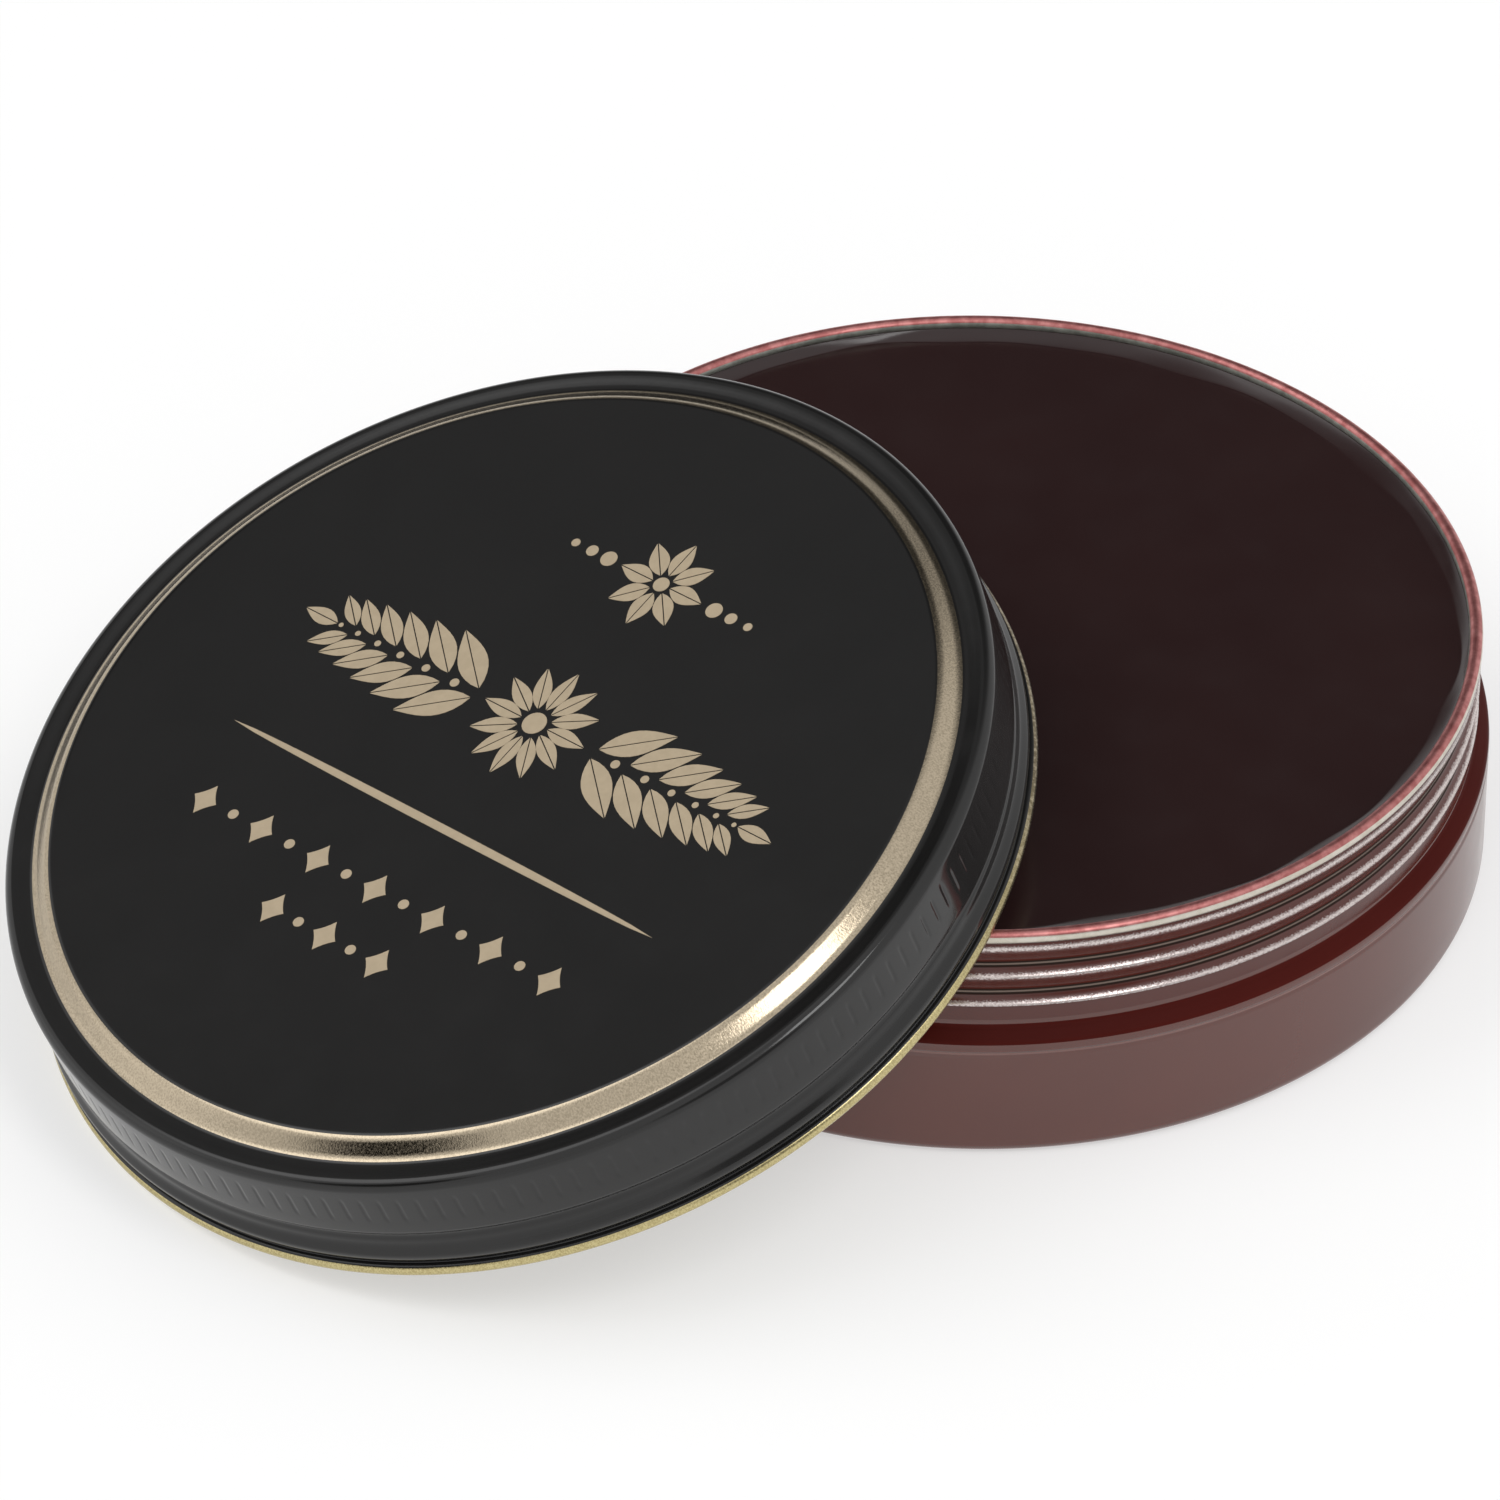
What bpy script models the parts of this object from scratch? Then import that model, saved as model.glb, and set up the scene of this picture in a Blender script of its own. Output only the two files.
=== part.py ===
"""Round shoe polish tin, open, with its lid leaning on the rim of the base.

Units are metres, +Z is up. The origin is the centre of the underside of the base.
The lid leans towards -X: its low edge stands on the floor and its curl crosses the rim of the base.
Every piece is turned from a profile of (radius, height) points, which runs from the axis outwards along
the outer face, round the rolled edge, and back to the axis along the inner face.
"""

import math

import bmesh
import bpy
from mathutils import Matrix, Vector

MM = 0.001

# Sheet metal and general turning
SHEET = 0.30 * MM
CLEARANCE = 0.30 * MM
TURN_STEPS = 60
SHARP_ANGLE = math.radians(38.0)
SHARPEST_MITRE = 0.5
MERGE_DISTANCE = 0.001 * MM
CORNER_STEPS = 3
ROLL_STEPS = 10

# Base: floor, body wall and ledge
BODY_RADIUS = 42.5 * MM
BASE_CORNER = 1.2 * MM
FOOT_GROOVE_INNER = 35.0 * MM
FOOT_GROOVE_OUTER = 37.4 * MM
FOOT_GROOVE_DEPTH = 0.35 * MM
SCORE_LOW = 10.25 * MM
SCORE_HIGH = 10.95 * MM
SCORE_DEPTH = 0.10 * MM
LEDGE_CORNER = 0.60 * MM
LEDGE_CORNER_HEIGHT = 11.30 * MM
LEDGE_RISE = 0.18 * MM
LEDGE_TURN = 80.0
NECK_COVE = 0.50 * MM

# Base: neck, ring beads and rolled rim
NECK_RADIUS = 41.20 * MM
NECK_TOP = 13.90 * MM
BEAD_CREST = 41.45 * MM
BEAD_TROUGH = 40.75 * MM
BEAD_PITCH = 2.85 * MM
BEAD_COUNT = 3
BEAD_FIRST_CREST = 14.75 * MM
BEAD_SAMPLES = 4
RIM_ROLL = 0.58 * MM
RIM_HEIGHT = 21.68 * MM
RIM_RADIUS = 40.95 * MM
RIM_ROLL_START = -75.0
RIM_ROLL_END = 235.0

# Polish
POLISH_RADIUS = BODY_RADIUS - SHEET - SCORE_DEPTH - CLEARANCE
POLISH_BOTTOM = FOOT_GROOVE_DEPTH + SHEET + CLEARANCE
POLISH_CORNER = 1.2 * MM
POLISH_CORNER_STEPS = 2
POLISH_STEP_LOW = 10.6 * MM
POLISH_STEP_HIGH = 12.2 * MM
POLISH_NECK = RIM_RADIUS - RIM_ROLL - CLEARANCE
POLISH_TOP = 20.9 * MM
MENISCUS_WIDTH = 1.4 * MM
MENISCUS_RISE = 0.7 * MM

# Lid, in its own frame: its axis is +Z and zero is the bottom of the curl
LID_RADIUS = 42.00 * MM
PANEL_RADIUS = 37.65 * MM
PANEL_HEIGHT = 12.25 * MM
PANEL_EDGE = 0.35 * MM
RING_FOOT_RADIUS = 39.45 * MM
RING_FOOT_HEIGHT = 11.10 * MM
MARGIN_HEIGHT = 11.25 * MM
SHOULDER = 0.85 * MM
SHOULDER_STEPS = 4
GROOVE_TOP = 5.05 * MM
GROOVE_FLOOR_TOP = 4.70 * MM
GROOVE_FLOOR_LOW = 4.25 * MM
GROOVE_RADIUS = 41.70 * MM
FLARE_LOW = 2.65 * MM
FLARE_RADIUS = 42.28 * MM
FLARE_BEAD_LOW = 1.90 * MM
CREASE_HEIGHT = 1.35 * MM
CREASE_RADIUS = 42.00 * MM
CURL_ROLL = 0.58 * MM
CURL_RADIUS = 42.07 * MM
CURL_START = 100.0
CURL_END = -210.0

# Where the lid leans, and how far its curl stays off the rim
LEAN_CLEARANCE = 0.24 * MM
LEAN = math.radians(20.3)
LEAN_ROUNDS = 8


def arc(centre, radius, start, end, steps):
    """Points on a circle about centre from start to end, in degrees, both ends included."""
    points = []
    for i in range(steps + 1):
        angle = math.radians(start + (end - start) * i / steps)
        points.append((centre[0] + radius * math.cos(angle), centre[1] + radius * math.sin(angle)))
    return points


def inner_face(points, thickness):
    """The same line moved sideways by the sheet's thickness, mitred at each corner.

    It moves to the left of its direction of travel, or to the right if the thickness is negative.
    The first point lies on the axis, and no point crosses it.
    """
    moved = []
    last = len(points) - 1
    for i, point in enumerate(points):
        here = Vector(point)
        before = (here - Vector(points[i - 1])).normalized() if i > 0 else None
        after = (Vector(points[i + 1]) - here).normalized() if i < last else None
        before = before or after
        after = after or before
        left_before = Vector((-before.y, before.x))
        left_after = Vector((-after.y, after.x))
        mitre = (left_before + left_after).normalized()
        offset = mitre * (thickness / max(SHARPEST_MITRE, mitre.dot(left_before)))
        moved.append((max(0.0, here.x + offset.x), here.y + offset.y))
    return moved


def turned_piece(name, profile, material):
    """Turn a closed profile about +Z into one closed body."""
    mesh = bpy.data.meshes.new(name)
    bm = bmesh.new()
    verts = [bm.verts.new((x, 0.0, z)) for x, z in profile]
    edges = [bm.edges.new(pair) for pair in zip(verts, verts[1:])]
    bmesh.ops.spin(bm, geom=verts + edges, cent=(0, 0, 0), axis=(0, 0, 1), dvec=(0, 0, 0),
                   angle=math.tau, steps=TURN_STEPS, use_merge=True)
    bmesh.ops.remove_doubles(bm, verts=bm.verts, dist=MERGE_DISTANCE)
    bmesh.ops.recalc_face_normals(bm, faces=bm.faces)
    bm.to_mesh(mesh)
    bm.free()
    mesh.shade_smooth()
    mesh.set_sharp_from_angle(angle=SHARP_ANGLE)
    mesh.materials.append(material)
    piece = bpy.data.objects.new(name, mesh)
    bpy.context.collection.objects.link(piece)
    return piece


def surface(name, colour, roughness, metallic):
    """A Principled BSDF material."""
    material = bpy.data.materials.new(name)
    material.use_nodes = True
    shader = material.node_tree.nodes["Principled BSDF"]
    shader.inputs["Base Color"].default_value = (*colour, 1.0)
    shader.inputs["Roughness"].default_value = roughness
    shader.inputs["Metallic"].default_value = metallic
    return material


def ring_beads():
    """The level ring beads of the neck, from the first crest up to the crease under the rim."""
    middle = (BEAD_CREST + BEAD_TROUGH) / 2
    swing = (BEAD_CREST - BEAD_TROUGH) / 2
    points = []
    for i in range((BEAD_COUNT - 1) * BEAD_SAMPLES + 1):
        turn = i / BEAD_SAMPLES
        height = BEAD_FIRST_CREST + turn * BEAD_PITCH
        points.append((middle + swing * math.cos(math.tau * turn), height))
    return points


def base_tin(material):
    """Bottom shell: floor, wall, ledge, beaded neck and rolled rim."""
    groove = [
        (FOOT_GROOVE_INNER, 0.0),
        (FOOT_GROOVE_INNER + FOOT_GROOVE_DEPTH, FOOT_GROOVE_DEPTH),
        (FOOT_GROOVE_OUTER - FOOT_GROOVE_DEPTH, FOOT_GROOVE_DEPTH),
        (FOOT_GROOVE_OUTER, 0.0),
    ]
    corner = arc((BODY_RADIUS - BASE_CORNER, BASE_CORNER), BASE_CORNER, -90, 0, CORNER_STEPS)
    score = [
        (BODY_RADIUS, SCORE_LOW),
        (BODY_RADIUS - SCORE_DEPTH, (2 * SCORE_LOW + SCORE_HIGH) / 3),
        (BODY_RADIUS - SCORE_DEPTH, (SCORE_LOW + 2 * SCORE_HIGH) / 3),
        (BODY_RADIUS, SCORE_HIGH),
    ]
    ledge = arc((BODY_RADIUS - LEDGE_CORNER, LEDGE_CORNER_HEIGHT), LEDGE_CORNER, 0, LEDGE_TURN, CORNER_STEPS)
    cove_base = LEDGE_CORNER_HEIGHT + LEDGE_CORNER + LEDGE_RISE
    cove = arc((NECK_RADIUS + NECK_COVE, cove_base + NECK_COVE), NECK_COVE, 180 + LEDGE_TURN, 180,
               CORNER_STEPS)
    neck = [(NECK_RADIUS, NECK_TOP)]
    outer = [(0.0, 0.0)] + groove + corner + score + ledge + cove + neck + ring_beads()
    roll = arc((RIM_RADIUS, RIM_HEIGHT), RIM_ROLL, RIM_ROLL_START, RIM_ROLL_END, ROLL_STEPS)
    return turned_piece("base_tin", outer + roll + inner_face(outer, SHEET)[::-1], material)


def polish_cake(material):
    """The wax: it fills the base to just under the rim and climbs a little at its edge."""
    corner = arc((POLISH_RADIUS - POLISH_CORNER, POLISH_BOTTOM + POLISH_CORNER), POLISH_CORNER, -90, 0,
                 POLISH_CORNER_STEPS)
    profile = [(0.0, POLISH_BOTTOM)] + corner
    profile += [(POLISH_RADIUS, POLISH_STEP_LOW), (POLISH_NECK, POLISH_STEP_HIGH)]
    profile += [(POLISH_NECK, POLISH_TOP + MENISCUS_RISE)]
    profile += [(POLISH_NECK - MENISCUS_WIDTH / 3, POLISH_TOP + MENISCUS_RISE / 3)]
    profile += [(POLISH_NECK - MENISCUS_WIDTH, POLISH_TOP), (0.0, POLISH_TOP)]
    return turned_piece("polish", profile, material)


def lid_shell(material):
    """Lid: panel, ring slope, margin, wall, retaining groove, flared bead and rolled edge."""
    panel = [(0.0, PANEL_HEIGHT), (PANEL_RADIUS - PANEL_EDGE, PANEL_HEIGHT)]
    panel += [(PANEL_RADIUS + PANEL_EDGE, PANEL_HEIGHT - PANEL_EDGE)]
    margin = [(RING_FOOT_RADIUS - PANEL_EDGE, RING_FOOT_HEIGHT + PANEL_EDGE / 2)]
    margin += [(RING_FOOT_RADIUS + PANEL_EDGE, RING_FOOT_HEIGHT)]
    shoulder = arc((LID_RADIUS - SHOULDER, MARGIN_HEIGHT - SHOULDER), SHOULDER, 90, 0,
                   SHOULDER_STEPS)
    wall = [(LID_RADIUS, GROOVE_TOP), (GROOVE_RADIUS, GROOVE_FLOOR_TOP), (GROOVE_RADIUS, GROOVE_FLOOR_LOW)]
    bead = [(FLARE_RADIUS, FLARE_LOW), (FLARE_RADIUS, FLARE_BEAD_LOW), (CREASE_RADIUS, CREASE_HEIGHT)]
    outer = panel + margin + shoulder + wall + bead
    roll = arc((CURL_RADIUS, CURL_ROLL), CURL_ROLL, CURL_START, CURL_END, ROLL_STEPS)
    inner = inner_face(outer, -SHEET)[::-1]
    return turned_piece("lid", outer + roll + inner, material)


def lean_position():
    """Where the lid's own origin goes so that it stands on the floor and clears the rim of the base.

    The middle line of the curl is a circle in a plane that rises by tan(LEAN) towards +X. Where it crosses
    the middle line of the rim in plan, it passes over it by the two rolls and the clearance. The crossing
    is not square, so the height between the two middle lines is a little more than that.
    """
    rise = math.tan(LEAN)
    centre_height = CURL_ROLL + CURL_RADIUS * math.sin(LEAN)
    touching = RIM_ROLL + CURL_ROLL + LEAN_CLEARANCE
    drop = touching
    for _ in range(LEAN_ROUNDS):
        along = (RIM_HEIGHT + drop - centre_height) / rise
        across = CURL_RADIUS * math.sqrt(1.0 - (along / (CURL_RADIUS * math.cos(LEAN))) ** 2)
        crossing_x = -math.sqrt(RIM_RADIUS ** 2 - across ** 2)
        curl_way = Vector((-across * math.cos(LEAN) ** 2, along, -across * math.cos(LEAN) ** 2 * rise))
        rim_way = Vector((-across, crossing_x, 0.0))
        square = curl_way.cross(rim_way).normalized()
        drop = touching / abs(square.z)
    centre = Vector((crossing_x - along, 0.0, centre_height))
    axis = Vector((-math.sin(LEAN), 0.0, math.cos(LEAN)))
    return centre - axis * CURL_ROLL


def build():
    """Make the whole tin."""
    for item in list(bpy.data.objects):
        bpy.data.objects.remove(item, do_unlink=True)
    base_tin(surface("base_enamel", (0.155, 0.052, 0.045), 0.32, 0.0))
    polish_cake(surface("polish_wax", (0.026, 0.012, 0.012), 0.42, 0.0))
    lid = lid_shell(surface("lid_enamel", (0.020, 0.019, 0.019), 0.35, 0.0))
    lid.matrix_world = Matrix.Translation(lean_position()) @ Matrix.Rotation(-LEAN, 4, "Y")


build()
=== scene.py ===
"""Looks of an open shoe polish tin whose lid leans on the rim of the base.

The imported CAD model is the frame. Three turned pieces with finer profiles stand for its three nodes, and a
raised gold ornament rides on the lid. The profiles and the ornament are in millimetres, (radius, height) or
(across, up), and MM turns them into metres. The camera, the light and the materials are in metres.
"""
import math
from collections import namedtuple

import bmesh
import bpy
from mathutils import Matrix, Vector


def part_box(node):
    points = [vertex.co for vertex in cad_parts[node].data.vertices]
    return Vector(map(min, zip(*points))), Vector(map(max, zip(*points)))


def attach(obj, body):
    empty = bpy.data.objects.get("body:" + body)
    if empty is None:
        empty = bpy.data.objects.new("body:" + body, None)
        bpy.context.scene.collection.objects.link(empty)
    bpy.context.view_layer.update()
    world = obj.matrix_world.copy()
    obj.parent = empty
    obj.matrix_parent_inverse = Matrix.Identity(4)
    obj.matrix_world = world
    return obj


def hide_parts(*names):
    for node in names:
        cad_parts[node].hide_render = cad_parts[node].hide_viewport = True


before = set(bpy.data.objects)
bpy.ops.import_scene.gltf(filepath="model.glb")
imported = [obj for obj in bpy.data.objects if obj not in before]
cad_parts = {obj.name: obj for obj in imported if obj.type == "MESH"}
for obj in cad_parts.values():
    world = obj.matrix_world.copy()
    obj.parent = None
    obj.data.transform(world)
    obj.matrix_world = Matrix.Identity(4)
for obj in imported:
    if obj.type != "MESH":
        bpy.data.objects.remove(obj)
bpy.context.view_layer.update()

MM = 0.001
SHEET = 0.30
ON_AXIS = 1e-6
SHARPEST_MITRE = 0.5

# Camera, in metres: the point that it aims at, and where it stands
CAMERA_AIM = Vector((-0.01901, 0.00505, 0.01200))
CAMERA_PLACE = Vector((-0.35423, -0.55906, 0.54207))
CAMERA_LENS_MM = 244.8
SENSOR_MM = 36.0

# Ring beads of the base's neck: the crest's radius, how far the wall swings in, how round the crest is, where
# in each pitch the valley lies, the lowest crest's height, the pitch, how many pitches there are between the
# crests, and the shorter pitch that the lowest bead's underside has
BEAD_CREST = 41.47
BEAD_SWING = 0.66
BEAD_ROUND = 0.12
BEAD_VALLEY = 0.34
BEAD_FIRST = 14.85
BEAD_PITCH = 2.85
BEAD_PITCHES = 2
FIRST_PITCH = 0.9

Ring = namedtuple("Ring", "radius height zone cut")


# ---------------------------------------------------------------- profiles

def arc(centre, radius, start, end, steps):
    """Points on a circle about centre from start to end, in degrees, both ends included."""
    points = []
    for i in range(steps + 1):
        angle = math.radians(start + (end - start) * i / steps)
        points.append((centre[0] + radius * math.cos(angle), centre[1] + radius * math.sin(angle)))
    return points


def bend(start, corner, end, steps):
    """A smooth corner: points on a quadratic curve from start to end, pulled towards corner."""
    points = []
    for i in range(steps + 1):
        t = i / steps
        a, b, c = (1 - t) ** 2, 2 * t * (1 - t), t ** 2
        points.append((a * start[0] + b * corner[0] + c * end[0],
                       a * start[1] + b * corner[1] + c * end[1]))
    return points


def line(start, end, steps):
    """Points on a straight line, both ends included."""
    return [(start[0] + (end[0] - start[0]) * i / steps, start[1] + (end[1] - start[1]) * i / steps)
            for i in range(steps + 1)]


def inner_face(points, thickness):
    """The same line moved sideways by the sheet's thickness, to its left, mitred at each corner."""
    moved = []
    last = len(points) - 1
    for i, point in enumerate(points):
        here = Vector(point)
        before = (here - Vector(points[i - 1])).normalized() if i > 0 else None
        after = (Vector(points[i + 1]) - here).normalized() if i < last else None
        before = before or after
        after = after or before
        mitre = (Vector((-before.y, before.x)) + Vector((-after.y, after.x))).normalized()
        offset = mitre * (thickness / max(SHARPEST_MITRE, mitre.dot(Vector((-before.y, before.x)))))
        moved.append((max(0.0, here.x + offset.x), here.y + offset.y))
    return moved


def rings(points, zone, cut=None):
    """Profile points as rings of one material zone."""
    return [Ring(r, z, zone, cut) for r, z in points]


# ---------------------------------------------------------------- turning

# The knurl of the lid: the number of ticks round it, the places of one tick's fine columns as parts of the
# pitch, how deep each column is cut as a part of the full depth, and that depth
TICKS = 165
TICK_OFFSETS = (0.0, 0.05, 0.10, 0.145, 0.20, 0.5, 0.80, 0.855, 0.90, 0.95)
TICK_DEPTHS = (1.0, 0.86, 0.42, 0.07, 0.0, 0.0, 0.0, 0.07, 0.42, 0.86)
TICK_DEPTH = 0.036
FINE = len(TICK_OFFSETS)
HALF = FINE // 2


def ring_vertices(bm, ring, wobble):
    """One ring of vertices. A ring with a cut has the knurl's fine columns, the others two a tick."""
    if ring.radius < ON_AXIS:
        return [bm.verts.new((0.0, 0.0, ring.height * MM))]
    columns = range(0, FINE, 1 if ring.cut is not None else HALF)
    made = []
    for tick in range(TICKS):
        for k in columns:
            angle = math.tau * (tick + TICK_OFFSETS[k]) / TICKS
            radius = ring.radius - TICK_DEPTH * TICK_DEPTHS[k] * (ring.cut or 0.0)
            height = ring.height + (wobble(angle, ring) if wobble else 0.0)
            x, y = radius * math.cos(angle), radius * math.sin(angle)
            made.append(bm.verts.new((x * MM, y * MM, height * MM)))
    return made


def strip(bm, low, high, zone):
    """The faces between two rings."""
    a, b = len(low), len(high)
    if a == 1 or b == 1:
        centre, loop = (low[0], high) if a == 1 else (high[0], low)
        faces = [(centre, loop[i], loop[(i + 1) % len(loop)]) for i in range(len(loop))]
    elif a == b:
        faces = [(low[i], low[(i + 1) % a], high[(i + 1) % a], high[i]) for i in range(a)]
    else:
        fine, coarse = (low, high) if a > b else (high, low)
        faces = []
        for i in range(len(coarse)):
            edge = [fine[(i * HALF + k) % len(fine)] for k in range(HALF + 1)]
            faces.append(tuple(edge) + (coarse[(i + 1) % len(coarse)], coarse[i]))
    for corners in faces:
        bm.faces.new(corners).material_index = zone


def turned(name, profile, materials, wobble=None):
    """Turn a profile of rings, axis to axis, into one closed mesh."""
    bm = bmesh.new()
    loops = [ring_vertices(bm, ring, wobble) for ring in profile]
    for i in range(len(loops) - 1):
        strip(bm, loops[i], loops[i + 1], profile[i].zone)
    bmesh.ops.recalc_face_normals(bm, faces=bm.faces)
    mesh = bpy.data.meshes.new(name)
    bm.to_mesh(mesh)
    bm.free()
    mesh.shade_smooth()
    for material in materials:
        mesh.materials.append(material)
    piece = bpy.data.objects.new(name, mesh)
    bpy.context.collection.objects.link(piece)
    return piece


# ---------------------------------------------------------------- materials

TURNING_RADIUS = 0.04


def new_material(name):
    """A material with its node tree and its Principled shader."""
    material = bpy.data.materials.new(name)
    material.use_nodes = True
    tree = material.node_tree
    return material, tree, tree.nodes["Principled BSDF"]


def add(tree, kind, values=None, **settings):
    """A node with settings, and values or links for its inputs."""
    made = tree.nodes.new(kind)
    for key, value in settings.items():
        setattr(made, key, value)
    for key, value in (values or {}).items():
        if isinstance(value, bpy.types.NodeSocket):
            tree.links.new(value, made.inputs[key])
        else:
            made.inputs[key].default_value = value
    return made


def maths(tree, operation, *values):
    """A Math node's result."""
    return add(tree, "ShaderNodeMath", dict(enumerate(values)), operation=operation).outputs[0]


def remap(tree, value, low, high, new_low, new_high):
    """A value from one range mapped to another and held inside it."""
    made = add(tree, "ShaderNodeMapRange", {0: value, 1: low, 2: high, 3: new_low, 4: new_high})
    return made.outputs[0]


def blend_colours(tree, factor, first, second):
    """Two colours mixed by a factor."""
    made = tree.nodes.new("ShaderNodeMix")
    made.data_type = "RGBA"
    for socket, value in ((made.inputs[0], factor), (made.inputs[6], first), (made.inputs[7], second)):
        if isinstance(value, bpy.types.NodeSocket):
            tree.links.new(value, socket)
        else:
            socket.default_value = value
    return made.outputs[2]


def varied(tree, factor, first, second):
    """A colour that drifts from one to the other with a factor, and goes to the shader's base colour."""
    tree.links.new(blend_colours(tree, factor, (*first, 1), (*second, 1)),
                   tree.nodes["Principled BSDF"].inputs["Base Color"])


def place(tree):
    """Position in the piece's own frame."""
    return add(tree, "ShaderNodeTexCoord").outputs["Object"]


def turned_place(tree, around, outward, upward):
    """Position round the axis: length round, radius and height, each stretched by a factor."""
    xyz = add(tree, "ShaderNodeSeparateXYZ", {0: place(tree)})
    angle = maths(tree, "ARCTAN2", xyz.outputs[1], xyz.outputs[0])
    x2 = maths(tree, "MULTIPLY", xyz.outputs[0], xyz.outputs[0])
    y2 = maths(tree, "MULTIPLY", xyz.outputs[1], xyz.outputs[1])
    radius = maths(tree, "SQRT", maths(tree, "ADD", x2, y2))
    length = maths(tree, "MULTIPLY", angle, TURNING_RADIUS * around)
    out = maths(tree, "MULTIPLY", radius, outward)
    up = maths(tree, "MULTIPLY", xyz.outputs[2], upward)
    return add(tree, "ShaderNodeCombineXYZ", {0: length, 1: out, 2: up}).outputs[0]


def noise(tree, vector, scale, detail=3.0, roughness=0.5):
    """Fractal noise, about 0 to 1."""
    made = add(tree, "ShaderNodeTexNoise",
               {"Vector": vector, "Scale": scale, "Detail": detail, "Roughness": roughness})
    return made.outputs[0]


def bump(tree, height, distance, normal=None):
    """A bump of a height in metres, over another normal if one is given."""
    values = {"Height": height, "Distance": distance, "Strength": 1.0}
    if normal is not None:
        values["Normal"] = normal
    return add(tree, "ShaderNodeBump", values).outputs[0]


def enamel(name, colour, tint, roughness, peel, streak, ior=1.5):
    """Baked enamel on turned sheet: soft cloudiness, orange peel and faint turning lines."""
    material, tree, shader = new_material(name)
    here = place(tree)
    clouds = noise(tree, here, 90.0)
    shader.inputs["IOR"].default_value = ior
    varied(tree, remap(tree, clouds, 0.35, 0.65, 0.0, 1.0), colour, tint)
    smudge = noise(tree, here, 160.0, 4.0, 0.6)
    tree.links.new(remap(tree, smudge, 0.3, 0.7, roughness - 0.04, roughness + 0.05),
                   shader.inputs["Roughness"])
    peel_normal = bump(tree, noise(tree, here, 1500.0, 2.0), peel)
    lines = noise(tree, turned_place(tree, 0.04, 1.0, 1.0), 6000.0, 2.0)
    tree.links.new(bump(tree, lines, streak, peel_normal), shader.inputs["Normal"])
    return material


def gold(name, colour, tint, roughness, grain):
    """Metallic gold print or lacquer with fine specks."""
    material, tree, shader = new_material(name)
    shader.inputs["Metallic"].default_value = 1.0
    specks = noise(tree, turned_place(tree, 1.0, 0.8, 0.8), 7000.0, 2.0, 0.6)
    varied(tree, remap(tree, specks, 0.36, 0.60, 0.0, 1.0), colour, tint)
    tree.links.new(remap(tree, specks, 0.3, 0.7, roughness - 0.05, roughness + 0.08),
                   shader.inputs["Roughness"])
    tree.links.new(bump(tree, specks, grain), shader.inputs["Normal"])
    return material


def wax(name, colour, tint, roughness):
    """Polish: a smooth dark surface with a slow swell and a fine grain."""
    material, tree, shader = new_material(name)
    shader.inputs["IOR"].default_value = 1.45
    here = place(tree)
    clouds = noise(tree, here, 60.0)
    varied(tree, remap(tree, clouds, 0.35, 0.65, 0.0, 1.0), colour, tint)
    smears = noise(tree, here, 220.0, 4.0)
    tree.links.new(remap(tree, smears, 0.3, 0.7, roughness - 0.04, roughness + 0.06),
                   shader.inputs["Roughness"])
    swell = bump(tree, noise(tree, here, 110.0, 1.0), 0.00003)
    tree.links.new(bump(tree, noise(tree, here, 2200.0, 3.0), 0.000004, swell), shader.inputs["Normal"])
    return material


# Wear and painted light of the beaded neck, as parts of one bead's pitch: how far the worn line on the crest,
# which is partly wear and partly painted highlight, sits above the crest and the valley's painted shade line
# above its bottom, how ragged the worn edge is, and from and to where each look fades. The brown is the
# painted shade round each valley's bottom.
RUBBED_HIGHLIGHT_ABOVE_CREST = 0.045
LINE_ABOVE_VALLEY = 0.02
RAGGED_EDGE = 0.16
RUBBED_HIGHLIGHT_FADE = (0.010, 0.078)
VALLEY_SHADE_FADE = (0.08, 0.14)
SHADE_LINE_FADE = (0.015, 0.045)
VALLEY_SHADE_BROWN = (0.022, 0.014, 0.011)


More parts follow.
